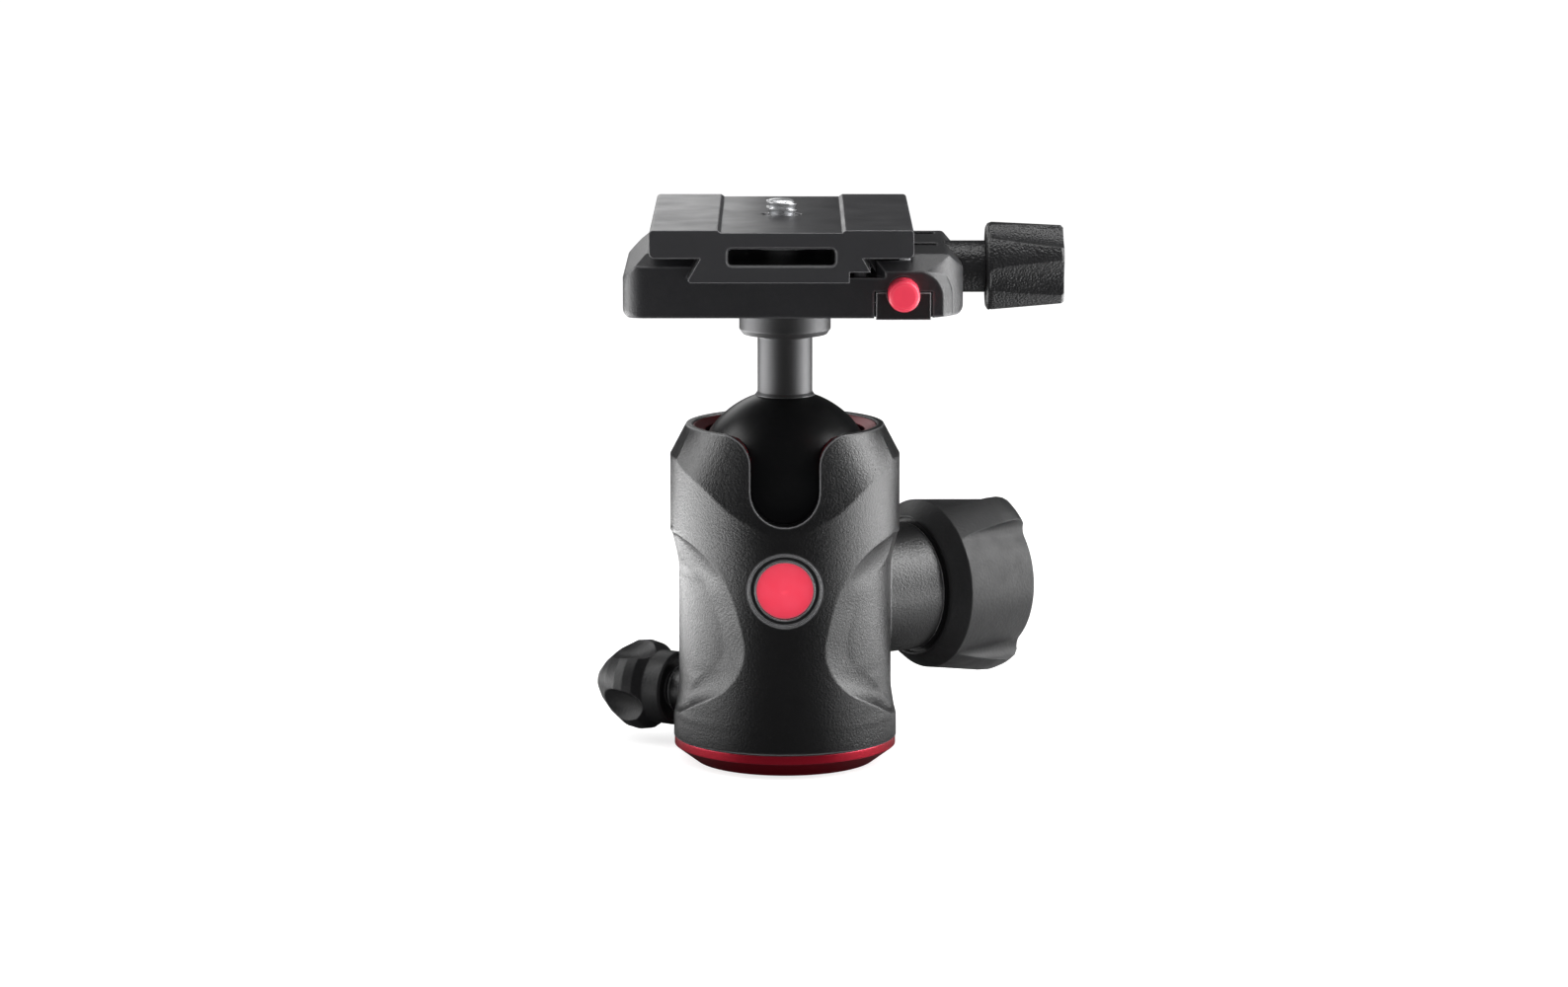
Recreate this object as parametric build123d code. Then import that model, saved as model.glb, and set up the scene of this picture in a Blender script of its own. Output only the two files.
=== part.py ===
from build123d import *
import math
import os

# A small tripod ball head, in millimetres, +Z up.
# The origin is on the pan axis at the underside of the base. -Y is the front, where the
# notch for the portrait position is. The plate clamp's knob points along +X.

# ---- driving dimensions -----------------------------------------------------------------
# base, which screws on to the tripod
base_foot_cut = 4.4      # how far the chamfer runs in under the ring
base_h = 5.1             # height of the base ring
base_band_h = 1.8        # straight band above the chamfer
tripod_bore_r = 3.97     # tapping bore of a 3/8-16 thread
tripod_bore_depth = 11.0
bush_r = tripod_bore_r + 3.03            # outside of the steel thread bush
spindle_r = 13.0         # neck on which the housing turns
spindle_flange_r = spindle_r + 4.0
spindle_flange_h = 2.6
spindle_groove_depth = 1.4
neck_r = 8.0             # upper neck, through the housing's floor
floor_low = 18.5         # housing floor, between the two necks
floor_high = floor_low + 3.6
base_screw_count = 3
base_screw_ring_r = spindle_r + 1.6
base_screw_r = 1.25
pan_bolt_r = 3.0
pan_bolt_head_r = 6.2
pan_bolt_head_h = 3.2
pan_washer_r = 11.2
pan_washer_h = 1.0

# ball and its seats. The stack runs up from the floor: wedge, piston, cup, ball.
ball_r = 19.05
ball_gap = 0.3           # from the ball to the housing's bore
race_gap = 0.06          # running gap between the ball and its seats
lock_screw_r = 3.5
lock_z = floor_high + 11.5                   # axis of the lock screw and the wedge
wedge_top = lock_z + lock_screw_r
piston_flange_low = wedge_top + 1.2
piston_flange_h = 1.2
piston_bore_r = 12.0
cup_low = piston_flange_low + piston_flange_h
cup_h = 7.5
cup_inner_r = 11.0
cup_under = 1.15         # from the cup's underside to the lowest point of the ball
ball_z = cup_low + cup_under + ball_r
socket_r = ball_r + ball_gap                 # housing bore round the ball
cup_r = socket_r - 0.55
cup_bore_r = cup_r + 0.2
cup_bore_low = piston_flange_low - 0.5

# housing
rim_wall = 1.45          # thickness of the rim round the race ring
socket_wall = 4.8        # thickness of the shoulder round the ball
waist_cut = 1.75         # how far the waist lies inside the shoulder
foot_cut = 0.6
base_gap = 0.15          # between the base ring and the housing above it
rim_r = socket_r + rim_wall
shoulder_r = socket_r + socket_wall
waist_r = shoulder_r - waist_cut
foot_r = shoulder_r - foot_cut
rim_rise = 12.0          # height of the rim above the ball's centre
rim_slope_h = 6.4        # height of the slope from the shoulder up to the rim
housing_top = ball_z + rim_rise
shoulder_top = housing_top - rim_slope_h
crease_drop = 14.8       # how far the crease on the front dips below the shoulder's top
race_low = ball_z + 3.8
race_top = housing_top - 0.3
race_mouth_r = 0.88 * ball_r                 # inner edge of the red ring

# notch in the front wall, for the stem at 90 degrees
stem_r = 5.75
notch_r = stem_r + 1.4
notch_rise = 0.85        # height of the notch's lower round above the ball's centre
notch_z = ball_z + notch_rise
notch_flare_r = 6.2

# stem
stem_length = 31.1       # from the ball's centre to the collar
collar_r = 9.6
collar_h = 6.4
collar_low = ball_z + stem_length
collar_high = collar_low + collar_h
collar_chamfer = 0.75
stem_thread_r = 3.0      # bore for the clamp bolt
stem_bore_depth = 14.0

# ball lock, turned 35 degrees from +X towards the back
lock_azimuth = 35.0
lock_boss_r = 13.7
lock_boss_out = 7.75     # how far the boss stands out of the shoulder's radius
lock_boss_end = shoulder_r + lock_boss_out   # distance of the boss face from the pan axis
knob_gap = 0.4           # between a boss and its knob
lock_knob_start = lock_boss_end + knob_gap
lock_knob_length = 21.5
lock_knob_r = 20.4       # over the ridges
lock_ridge_turn = 34.0   # first ridge of the large knob, counted from upright
lock_bush_r = lock_screw_r + 2.2
lock_bush_start = 20.0
wedge_slope = 20.0       # degrees
wedge_tip = -6.5
wedge_end = 13.0
lock_pitch = 1.5         # thread pitch: travel for one turn of the knob

# pan lock, at the back left
pan_azimuth = 148.0
pan_z = 11.8
pan_boss_r = 5.2
pan_boss_end = shoulder_r + 2.25
pan_knob_start = pan_boss_end + 0.6
pan_knob_length = 19.5
pan_knob_r = 9.7
pan_scoop_turn = 248.0   # first scoop of the small knob, counted from upright
pan_screw_r = 2.5
pan_bush_r = pan_screw_r + 1.5
shoe_r = 3.0
shoe_end = spindle_r + 3.5

# badge on the front
badge_z = 40.1
badge_r = 5.95
bezel_wall = 1.7
bezel_r = badge_r + 0.05 + bezel_wall
badge_floor = shoulder_r - 3.85              # depth of the recess, from the pan axis

# clamp, on the stem's collar, and the plate in it
clamp_low = collar_high
clamp_bed_h = 8.3        # from the clamp's underside to the bed
clamp_h = 12.8           # to the top of its jaws
clamp_left = -33.3
clamp_right = 36.8
clamp_half = 25.0        # half of its length along Y
bed_z = clamp_low + clamp_bed_h
jaw_top = clamp_low + clamp_h
front_lip = 2.3          # drop of the top towards the front and back faces
slope_half = clamp_half - 4.5                # half length of the flat top between the two end slopes
flank_gap = 0.10         # between a jaw and the dovetail
jaw_travel = 2.0
jaw_half = clamp_half - 8.0
guide_y = clamp_half - 13.0                  # guide rods, either side of the screw
guide_r = 1.5
guide_z = clamp_low + 4.8
clamp_screw_z = clamp_low + 7.7
clamp_screw_r = 2.5
clamp_pitch = 0.8
sleeve_r = clamp_screw_r + 2.9
sleeve_length = 5.0
sleeve_seat = 3.6        # how deep the sleeve sits in the clamp's end
sleeve_end = clamp_right + sleeve_length
clamp_knob_r = 9.3
clamp_knob_length = 16.2

plate_x = -0.7           # the plate's middle, beside the pan axis
plate_width = 53.7
plate_depth = 68.5
slab_h = 5.75
dovetail_h = 5.0
dovetail_half = 19.0     # half width at the bottom of the dovetail (38 mm across)
dovetail_lean = 2.55     # how far each flank leans in towards the neck
dovetail_edge = 0.5      # chamfer along its bottom edges
plate_low = bed_z + 0.1  # underside of the dovetail
plate_top = plate_low + dovetail_h + slab_h
dovetail_neck = dovetail_half - dovetail_lean
plate_recess_half = 12.3
plate_recess_h = 0.5
window_half = 10.9
window_h = 3.3
camera_screw_r = 3.175   # 1/4-20 thread
camera_neck_r = 2.6      # relieved neck, so that the screw stays in the plate
camera_screw_height = 3.2
clip_h = 0.35
camera_head_r = 7.9
window_mid = plate_top - 5.5
clip_r = camera_screw_r + 0.75
clip_seat = plate_top - plate_recess_h - 0.8  # bottom of the counterbore for the retaining ring
thread_low = plate_top - plate_recess_h + 0.22  # where the neck ends and the thread begins

# safety button, in the clamp's front
button_x = 24.25
button_z = clamp_low + 5.2
button_r = 3.25
button_out = 6.3         # how far it stands out of the front face
button_travel = 2.0
button_half = 5.6        # half width of the block under the button
pin_x = 15.4
pin_y = 3.8 - clamp_half
pin_r = 1.3

running = 0.05           # radial clearance of a shaft in its bore
seat = 0.05              # gap between faces that slide on each other
fitted = 0.01            # gap round a piece that is pressed or screwed home


# ---- helpers ----------------------------------------------------------------------------
def turned(*corners):
    """Solid of revolution about Z from its (radius, height) corners."""
    outline = Polyline(*[(r, 0, z) for r, z in corners], close=True)
    return revolve(make_face(outline), Axis.Z, 360)


def rod(radius, low, high):
    """Cylinder on the Z axis between two heights."""
    return Pos(0, 0, low) * Cylinder(radius, high - low, align=(Align.CENTER, Align.CENTER, Align.MIN))


def block(x0, x1, y0, y1, z0, z1):
    """Box between two corners."""
    return Pos((x0 + x1) / 2, (y0 + y1) / 2, (z0 + z1) / 2) * Box(x1 - x0, y1 - y0, z1 - z0)


def radial_frame(azimuth, height):
    """Frame whose Z runs outwards from the pan axis and whose X points up."""
    a = math.radians(azimuth)
    outwards = (math.cos(a), math.sin(a), 0)
    return Plane(origin=(0, 0, height), x_dir=(0, 0, 1), z_dir=outwards).location


def prism_xz(points, y0, y1):
    """Prism along Y from an outline of (x, z) points."""
    outline = Polyline(*[(x, y1, z) for x, z in points], close=True)
    return extrude(make_face(outline), y1 - y0, dir=(0, -1, 0))


def prism_yz(points, x0, x1):
    """Prism along X from an outline of (y, z) points."""
    outline = Polyline(*[(x0, y, z) for y, z in points], close=True)
    return extrude(make_face(outline), x1 - x0, dir=(1, 0, 0))


def around(count, start=0.0):
    """Evenly spaced turns about Z."""
    return [Rot(0, 0, start + 360 / count * i) for i in range(count)]


ball_centre = Pos(0, 0, ball_z)
lock_frame = radial_frame(lock_azimuth, lock_z)
pan_frame = radial_frame(pan_azimuth, pan_z)
badge_frame = Plane(origin=(0, -badge_floor, badge_z), x_dir=(1, 0, 0), z_dir=(0, -1, 0)).location
clamp_frame = Plane(origin=(0, 0, clamp_screw_z), x_dir=(0, 0, 1), z_dir=(1, 0, 0)).location


# ---- base -------------------------------------------------------------------------------
def make_base_ring():
    """Anodised ring with a chamfered foot. It sits on the spindle's flange."""
    chamfer_top = base_h - base_band_h
    base_r = foot_r - base_gap
    ring = turned((spindle_flange_r + running, 0.0), (base_r - base_foot_cut, 0.0),
                  (base_r, chamfer_top),
                  (base_r, base_h), (spindle_r + running, base_h),
                  (spindle_r + running, spindle_flange_h),
                  (spindle_flange_r + running, spindle_flange_h))
    for turn in around(base_screw_count):
        ring -= turn * Pos(base_screw_ring_r, 0, 0) * rod(base_screw_r, 0, 4.4)
    return ring


def make_pan_spindle():
    """Turned neck that the housing pans on, with a groove for the pan lock's shoe."""
    groove_low = pan_z - shoe_r - 0.5
    groove_high = pan_z + shoe_r + 0.5
    groove_r = spindle_r - spindle_groove_depth
    spindle = turned((0, 0), (spindle_flange_r, 0), (spindle_flange_r, spindle_flange_h),
                     (spindle_r, spindle_flange_h), (spindle_r, groove_low), (groove_r, groove_low),
                     (groove_r, groove_high), (spindle_r, groove_high), (spindle_r, floor_low - seat),
                     (neck_r, floor_low - seat), (neck_r, floor_high + seat), (0, floor_high + seat))
    spindle -= rod(bush_r, -1, tripod_bore_depth + 1)
    spindle -= rod(pan_bolt_r, tripod_bore_depth, floor_high + 1)
    for turn in around(base_screw_count):
        spindle -= turn * Pos(base_screw_ring_r, 0, 0) * base_screw_void()
    return spindle


def base_screw_void():
    """Through hole and countersink for one base screw."""
    return turned((0, -0.5), (2.3, -0.5), (2.3, 0.35), (base_screw_r, 1.5), (base_screw_r, 4.4),
                  (0, 4.4))


def make_base_screws():
    """Three countersunk screws that hold the ring to the flange."""
    screw = turned((0, 0.2), (2.2, 0.2), (2.2, 0.3), (base_screw_r - 0.03, 1.5),
                   (base_screw_r - 0.03, 4.35), (0, 4.35))
    screw -= Pos(0, 0, 0.2) * extrude(RegularPolygon(0.85, 6), 0.8)
    return Compound([turn * Pos(base_screw_ring_r, 0, 0) * screw for turn in around(base_screw_count)])


def make_thread_bush():
    """Steel bush with the tapping bore for the tripod's 3/8-16 screw."""
    bush = rod(bush_r - 0.02, 0, tripod_bore_depth + 0.95)
    return bush - rod(tripod_bore_r, -1, tripod_bore_depth)


def make_pan_washer():
    """Plain bearing washer on the housing's floor."""
    low = floor_high + 0.1
    high = low + pan_washer_h
    return rod(pan_washer_r, low, high) - rod(pan_bolt_r + 0.1, low - 1, high + 1)


def make_pan_bolt():
    """Bolt that holds the housing down on the spindle, with a hexagon socket."""
    low = floor_high + 0.1 + pan_washer_h
    bolt = rod(pan_bolt_head_r, low, low + pan_bolt_head_h)
    bolt += rod(pan_bolt_r - 0.03, tripod_bore_depth + 1.2, low)
    return bolt - Pos(0, 0, low + 1.2) * extrude(RegularPolygon(2.9, 6), pan_bolt_head_h)


# ---- housing ----------------------------------------------------------------------------
def polar(radius, azimuth, z):
    """Point at an azimuth counted from the front."""
    a = math.radians(azimuth)
    return (radius * math.sin(a), -radius * math.cos(a), z)


def body_section(z, front_radius, front_angle, side_radius, side_angle):
    """One level of the body: the front column's arc, a bevel each side, and the waist behind."""
    def arc(radius, start, end):
        return ThreePointArc(*[polar(radius, azimuth, z) for azimuth in (start, (start + end) / 2, end)])
    edges = [
        arc(front_radius, -front_angle, 0), arc(front_radius, 0, front_angle),
        Line(polar(front_radius, front_angle, z), polar(side_radius, side_angle, z)),
        arc(side_radius, side_angle, 100), arc(side_radius, 100, 180), arc(side_radius, 180, 260),
        arc(side_radius, 260, 360 - side_angle),
        Line(polar(side_radius, -side_angle, z), polar(front_radius, -front_angle, z)),
    ]
    return Face(Wire(edges))


def make_waist():
    """Sculpted middle of the housing: a front column that narrows between two side pockets."""
    foot, waist, top = foot_r, waist_r, shoulder_r
    # height, half angle of the front column, half angle where the waist starts, waist radius
    levels = [
        (9.5, 73.0, 79.0, foot), (11.7, 66.0, 75.0, foot - 0.52), (13.6, 55.0, 70.0, foot - 0.82),
        (15.6, 43.7, 66.0, foot - 1.08), (17.7, 34.0, 60.0, waist), (19.9, 28.0, 54.0, waist),
        (22.6, 23.5, 41.5, waist), (24.9, 21.4, 36.0, waist), (28.0, 20.9, 35.0, waist),
        (31.5, 22.6, 36.8, waist), (36.0, 25.6, 41.0, waist), (40.1, 30.0, 50.0, waist),
        (43.2, 35.0, 66.0, waist + 0.15), (46.5, 44.0, 72.0, waist + 0.85),
        (49.0, 60.0, 76.0, top - 0.25),
        (50.6, 72.0, 79.0, top),
    ]
    sections = []
    for z, front_angle, side_angle, side_radius in levels:
        share = (z - levels[0][0]) / (levels[-1][0] - levels[0][0])
        sections.append(body_section(z, foot + (top - foot) * share, front_angle, side_radius,
                                     side_angle))
    return loft(sections, ruled=False), levels[0][0], levels[-1][0]


def crease_tool():
    """Everything outside the ruled surface that runs from the crease on the front up to the rim."""
    azimuths = (0, 8, 19, 31, 42, 52, 60, 69, 80)
    dips = (14.6, 13.5, 11.3, 8.6, 5.4, 3.2, 1.9, 0.1, -2.6)
    inset = 0.05
    sections = []
    table = [(-a, d) for a, d in reversed(list(zip(azimuths, dips))[1:])] + list(zip(azimuths, dips))
    for azimuth, dip in table:
        crease = shoulder_top - dip * crease_drop / 14.8
        slope = (shoulder_r - rim_r + inset) / (housing_top - crease)
        low, high = crease - 3.0, housing_top + 2.0
        points = [polar(shoulder_r + 3.0 * slope, azimuth, low),
                  polar(rim_r - inset - 2.0 * slope, azimuth, high),
                  polar(shoulder_r + 6, azimuth, high), polar(shoulder_r + 6, azimuth, low)]
        sections.append(make_face(Polyline(*points, close=True)))
    return loft(sections, ruled=False)


def make_body_form():
    """Outside of the housing: foot, sculpted waist, shoulder and rim."""
    middle, low, high = make_waist()
    bottom = rod(foot_r, base_h + base_gap, low)
    top = turned((0, high), (shoulder_r, high), (shoulder_r, shoulder_top), (rim_r, housing_top),
                 (0, housing_top))
    top -= crease_tool()
    return bottom + middle + top


def notch_outline(grow):
    """Round-bottomed notch that flares into the rim, on the XZ plane."""
    high = housing_top + 3
    half = notch_r + grow
    outline = Pos(0, notch_z) * Circle(half)
    outline += Pos(0, (notch_z + high) / 2) * Rectangle(2 * half, high - notch_z)
    flare = notch_flare_r - grow
    flare_low = housing_top - notch_flare_r + 0.15
    for side in (-1, 1):
        middle_x = side * (half + flare / 2)
        corner = Pos(middle_x, (flare_low + high) / 2) * Rectangle(flare, high - flare_low)
        corner -= Pos(side * (half + flare), flare_low) * Circle(flare)
        outline += corner
    return Plane.XZ * outline


def notch_form(depth):
    """The notch as a solid, from the pan axis out to the front."""
    return extrude(notch_outline(0.0), depth)


def make_housing():
    """Cast housing with the ball's socket, the notch, the lock boss and the pan boss."""
    body = make_body_form()
    body += lock_frame * rod(lock_boss_r, 10, lock_boss_end)
    body += pan_frame * rod(pan_boss_r, 15, pan_boss_end)
    # bores on the pan axis, from the bottom up
    body -= rod(spindle_r + running + 0.03, 0, floor_low)
    body -= rod(neck_r + running + 0.03, 0, floor_high + 1)
    body -= rod(piston_bore_r, floor_high, cup_bore_low + 1)
    body -= rod(cup_bore_r, cup_bore_low, cup_low + cup_h + 3)
    body -= rod(socket_r, cup_low + cup_h + 3, housing_top + 1)
    body -= notch_form(shoulder_r + 6)
    # cross bores
    body -= lock_frame * rod(lock_screw_r + 0.1, 0, lock_boss_end + 1)
    body -= lock_frame * rod(lock_bush_r, lock_bush_start, lock_boss_end + 1)
    body -= pan_frame * rod(shoe_r + 0.08, 5, shoe_end + 1)
    body -= pan_frame * rod(pan_bush_r, shoe_end + 0.5, pan_boss_end + 1)
    # recess for the badge
    body -= badge_frame * rod(bezel_r, 0, 8)
    return body


def make_race_ring():
    """Red bearing ring that holds the ball down. It is open at the notch."""
    mouth_drop = 0.9
    ring = turned((race_mouth_r, race_low), (socket_r - 0.02, race_low), (socket_r - 0.02, race_top),
                  (socket_r - 0.3, race_top), (race_mouth_r, race_top - mouth_drop))
    ring -= ball_centre * Sphere(ball_r + race_gap)
    return ring - notch_form(shoulder_r + 6)


def make_badge_bezel():
    """Ring in the recess on the front: it follows the body's curve and has a groove inside its lip."""
    ring = badge_frame * (rod(bezel_r - 0.02, 0, 6) - rod(bezel_r - bezel_wall, -1, 7))
    ring &= rod(shoulder_r - 0.08, badge_z - 12, badge_z + 12)
    groove = badge_frame * (rod(bezel_r - 0.4, 0, 7) - rod(bezel_r - bezel_wall + 0.3, -1, 7))
    return ring - (groove - rod(shoulder_r - 0.95, badge_z - 12, badge_z + 12))


def make_badge_disc():
    """Plain domed disc inside the bezel."""
    dome = Pos(0, 0, 2.9 - 50) * Sphere(50)
    return badge_frame * (rod(badge_r, 0, 5) & dome)


# ---- ball lock --------------------------------------------------------------------------
def make_lock_piston():
    """Piston under the cup. The wedge lifts its sloping foot."""
    slope = math.tan(math.radians(wedge_slope))
    piston = rod(cup_r, piston_flange_low, cup_low - 0.02)
    piston += rod(piston_bore_r - 0.1, wedge_top + 0.4, piston_flange_low)
    foot_start, foot_end = -6.0, 2.5
    low_at = lambda x: wedge_top + seat - (4.0 - x) * slope
    foot = prism_xz([(foot_start, low_at(foot_start)), (foot_end, low_at(foot_end)),
                     (foot_end, wedge_top + 1.0), (foot_start, wedge_top + 1.0)], -3.2, 3.2)
    piston += Rot(0, 0, lock_azimuth) * foot
    return piston - ball_centre * Sphere(ball_r + 1.3)


def make_ball_cup():
    """Lower bearing cup, in plastic, that the piston presses against the ball."""
    cup = rod(cup_r, cup_low, cup_low + cup_h) - rod(cup_inner_r, cup_low - 1, cup_low + cup_h + 1)
    return cup - ball_centre * Sphere(ball_r + race_gap)


def make_lock_wedge():
    """Sliding pin with a sloping nose, at the end of the lock screw."""
    slope = math.tan(math.radians(wedge_slope))
    pin = lock_frame * rod(lock_screw_r, wedge_tip, wedge_end)
    low_at = lambda x: wedge_top - (4.0 - x) * slope
    nose = prism_xz([(wedge_tip - 1, low_at(wedge_tip - 1)), (4.0, wedge_top),
                     (4.0, wedge_top + 2), (wedge_tip - 1, wedge_top + 2)], -6, 6)
    return pin - Rot(0, 0, lock_azimuth) * nose


def make_lock_bush():
    """Brass thread bush in the boss."""
    bush = rod(lock_bush_r - 0.02, lock_bush_start + 0.02, lock_boss_end)
    return lock_frame * (bush - rod(lock_screw_r + running, 0, 60))


def make_lock_screw():
    """Lock screw from the wedge to the knob."""
    return lock_frame * rod(lock_screw_r, wedge_end + seat, lock_knob_start + 9)


def make_lock_knob():
    """Large knob: a bevelled inner rim, and three finger scoops between raised, rounded ridges."""
    length = lock_knob_length
    r = lock_knob_r
    crease_r, crease_at = r - 2.2, 3.7
    end_r = r - 3.9
    knob = turned((0, 0), (r - 5.3, 0), (r - 4.9, 0.3), (crease_r, crease_at), (r - 0.2, length - 6.5),
                  (r, length - 4.0), (r - 0.3, length - 2.4), (r - 1.0, length - 1.0),
                  (r - 2.2, length), (0, length))
    # each scoop goes down to a cone that narrows outwards
    scoop_half, corner = 53.0, 3.0
    taper = math.degrees(math.atan((crease_r - end_r) / (length - crease_at)))
    spots = [polar(end_r, azimuth, 0) for azimuth in (-scoop_half, 0, scoop_half)]
    far = [polar(r + 14, azimuth, 0) for azimuth in (scoop_half - 7, 0, 7 - scoop_half)]
    outline = Face(Wire([ThreePointArc(*spots), Line(spots[2], far[0]), ThreePointArc(*far),
                         Line(far[2], spots[0])]))
    inner = [v for v in outline.vertices() if math.hypot(v.X, v.Y) < end_r + 1]
    outline = fillet(inner, corner)
    scoop = extrude(outline, length - crease_at + 2.0, dir=(0, 0, -1), taper=taper)
    for turn in around(3, lock_ridge_turn + 60 + 90):
        knob -= turn * Pos(0, 0, length) * scoop
    knob -= rod(lock_screw_r + fitted, -1, 9.1)
    knob -= rod(r - 5.8, -1, 0.8) - rod(7.0, -2, 2)
    knob -= rod(11.0, length - 1.2, length + 1)
    return lock_frame * Pos(0, 0, lock_knob_start) * knob


def make_lock_knob_cap():
    """Flush cap in the knob's end."""
    cap = turned((0, 0), (10.95, 0), (10.95, 0.9), (10.5, 1.15), (0, 1.5))
    return lock_frame * Pos(0, 0, lock_knob_start + lock_knob_length - 1.2) * cap


# ---- pan lock ---------------------------------------------------------------------------
def make_pan_shoe():
    """Brake shoe that the pan screw presses into the spindle's groove."""
    tip = spindle_r - spindle_groove_depth + 0.1
    return pan_frame * rod(shoe_r, tip, shoe_end)


def make_pan_bush():
    """Brass thread bush in the housing's pan boss."""
    bush = rod(pan_bush_r - 0.02, 17.02, pan_boss_end)
    return pan_frame * (bush - rod(pan_screw_r + running, 0, 60))


def make_pan_screw():
    """Pan lock screw."""
    return pan_frame * rod(pan_screw_r, shoe_end + seat, pan_knob_start + 8)


def make_pan_knob():
    """Small knob with a round collar, and scooped flanks that meet in ridges towards its blunt tip."""
    length = pan_knob_length
    r = pan_knob_r
    raw = turned((0, 0), (r - 2.1, 0), (r - 1.8, 0.4), (r - 1.8, 4.4), (r - 0.4, 6.2), (r, 8.4),
                 (r - 0.3, 10.6),
                 (r - 2.2, 14.0), (r - 4.6, 17.0), (r - 6.8, 19.0), (0, length))
    for turn in around(4, pan_scoop_turn):
        raw -= turn * Pos(r + 2.2, 0, 8.8) * Rot(0, -17, 0) * scale(Sphere(1), by=(5.4, 4.6, 8.6))
    for turn in around(4, pan_scoop_turn + 45):
        raw -= turn * Pos(r + 3.9, 0, 13.5) * Rot(0, -27, 0) * Box(9.4, 30, 30)
    raw -= rod(pan_screw_r + fitted, -1, 8.1)
    raw -= rod(r - 2.8, -1, 0.8) - rod(4.2, -2, 2)
    return pan_frame * Pos(0, 0, pan_knob_start) * raw


# ---- ball and stem ----------------------------------------------------------------------
def make_ball():
    """The ball."""
    return ball_centre * Sphere(ball_r)


def make_stem():
    """Stem and collar, turned in one. Its foot is hollowed to the ball."""
    foot_z = ball_z + 0.9 * ball_r
    reach_z = ball_z + math.sqrt(ball_r ** 2 - stem_r ** 2)
    stem = turned((0, foot_z), (stem_r + 0.5, foot_z), (stem_r + 0.5, reach_z), (stem_r, reach_z + 0.7),
                  (stem_r, collar_low - 0.7), (stem_r + 0.5, collar_low),
                  (collar_r - collar_chamfer, collar_low), (collar_r, collar_low + collar_chamfer + 0.3),
                  (collar_r, collar_high - 0.5), (collar_r - 0.5, collar_high), (0, collar_high))
    stem -= ball_centre * Sphere(ball_r + race_gap)
    return stem - rod(stem_thread_r + running, collar_high - stem_bore_depth, collar_high + 1)


# ---- clamp ------------------------------------------------------------------------------
channel_end = 26.1       # right side of the jaw's channel
jaw_foot_left = dovetail_half + 0.5
jaw_foot_right = jaw_foot_left + 6.0
slide_front = clamp_half - 2.4               # front and back of the cavity for the button's slide
slide_back = clamp_half - 7.5
button_axis = Pos(button_x, 0, button_z) * Rot(90, 0, 0)


def flank_x(z, gap):
    """Half width of the plate's dovetail at a height, plus a gap."""
    low = plate_top - slab_h - dovetail_h + dovetail_edge
    share = (z - low) / (dovetail_h - dovetail_edge)
    return dovetail_half + (dovetail_neck - dovetail_half) * share + gap


def make_clamp_form():
    """Outside of the clamp: rounded ends, sloping tops and the fixed jaw's flank."""
    bevel = 4.8
    end_drop = 3.6
    right_top = clamp_right - 3.4
    left_flank_top = plate_x - flank_x(jaw_top, flank_gap)
    left_flank_bed = plate_x - flank_x(bed_z, flank_gap)
    outline = [(clamp_left, clamp_low), (clamp_left, jaw_top - bevel), (clamp_left + bevel, jaw_top),
               (left_flank_top, jaw_top), (left_flank_bed, bed_z), (channel_end, bed_z),
               (channel_end, jaw_top),
               (right_top, jaw_top), (clamp_right, jaw_top - end_drop), (clamp_right, clamp_low)]
    face = make_face(Polyline(*[(x, clamp_half, z) for x, z in outline], close=True))
    corners = [v for v in face.vertices() if abs(v.Z - clamp_low) < 0.01]
    face = fillet(corners, 1.6)
    corners = [v for v in face.vertices()
               if abs(v.X - right_top) < 0.01 or abs(v.Z - jaw_top + end_drop) < 0.01]
    face = fillet(corners, 1.3)
    form = extrude(face, 2 * clamp_half, dir=(0, -1, 0))
    # plan outline: small rounds at the left, long rounded bevels at the right
    corner = 4.5
    half = clamp_half
    inset = corner * (1 - math.sqrt(0.5))
    start = button_x + 4.0
    plan = [
        Line((start, half), (clamp_left + corner, half)),
        ThreePointArc((clamp_left + corner, half), (clamp_left + inset, half - inset),
                      (clamp_left, half - corner)),
        Line((clamp_left, half - corner), (clamp_left, corner - half)),
        ThreePointArc((clamp_left, corner - half), (clamp_left + inset, inset - half),
                      (clamp_left + corner, -half)),
        Line((clamp_left + corner, -half), (start, -half)),
        ThreePointArc((start, -half), (clamp_right - 2.3, 5.0 - half), (clamp_right, 13.0 - half)),
        Line((clamp_right, 13.0 - half), (clamp_right, half - 13.0)),
        ThreePointArc((clamp_right, half - 13.0), (clamp_right - 2.3, half - 5.0), (start, half)),
    ]
    form &= Pos(0, 0, clamp_low - 1) * extrude(Face(Wire(plan)), 20)
    # the tops slope down to the front and back faces
    for side in (-1, 1):
        slope = [(side * slope_half, jaw_top + 0.01), (side * (clamp_half + 0.01), jaw_top - front_lip),
                 (side * (clamp_half + 0.01), jaw_top + 2), (side * slope_half, jaw_top + 2)]
        form -= prism_yz(slope, clamp_left - 1, clamp_right + 1)
    # beside the button the front slopes further down, round an arch that frames the button
    steep = [(-slope_half, jaw_top + 0.01), (-clamp_half - 0.01, button_z + 4.4),
             (-clamp_half - 0.01, jaw_top + 2), (-slope_half, jaw_top + 2)]
    form -= prism_yz(steep, channel_end, clamp_right + 1)
    arch_low, arch_high = clamp_low + 0.4, button_z + 4.4
    arch = Pos((button_x + 8.2 + channel_end - 5.5) / 2, (arch_low + arch_high) / 2) \
        * Rectangle(button_x + 8.2 - channel_end + 5.5, arch_high - arch_low)
    arch = fillet([v for v in arch.vertices() if v.X > button_x and v.Y > button_z], 5.4)
    frame = Plane(origin=(0, -clamp_half, 0), x_dir=(1, 0, 0), z_dir=(0, -1, 0))
    form += extrude(frame * arch, -3.2, taper=-32) & form_bounds()
    return form


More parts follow.
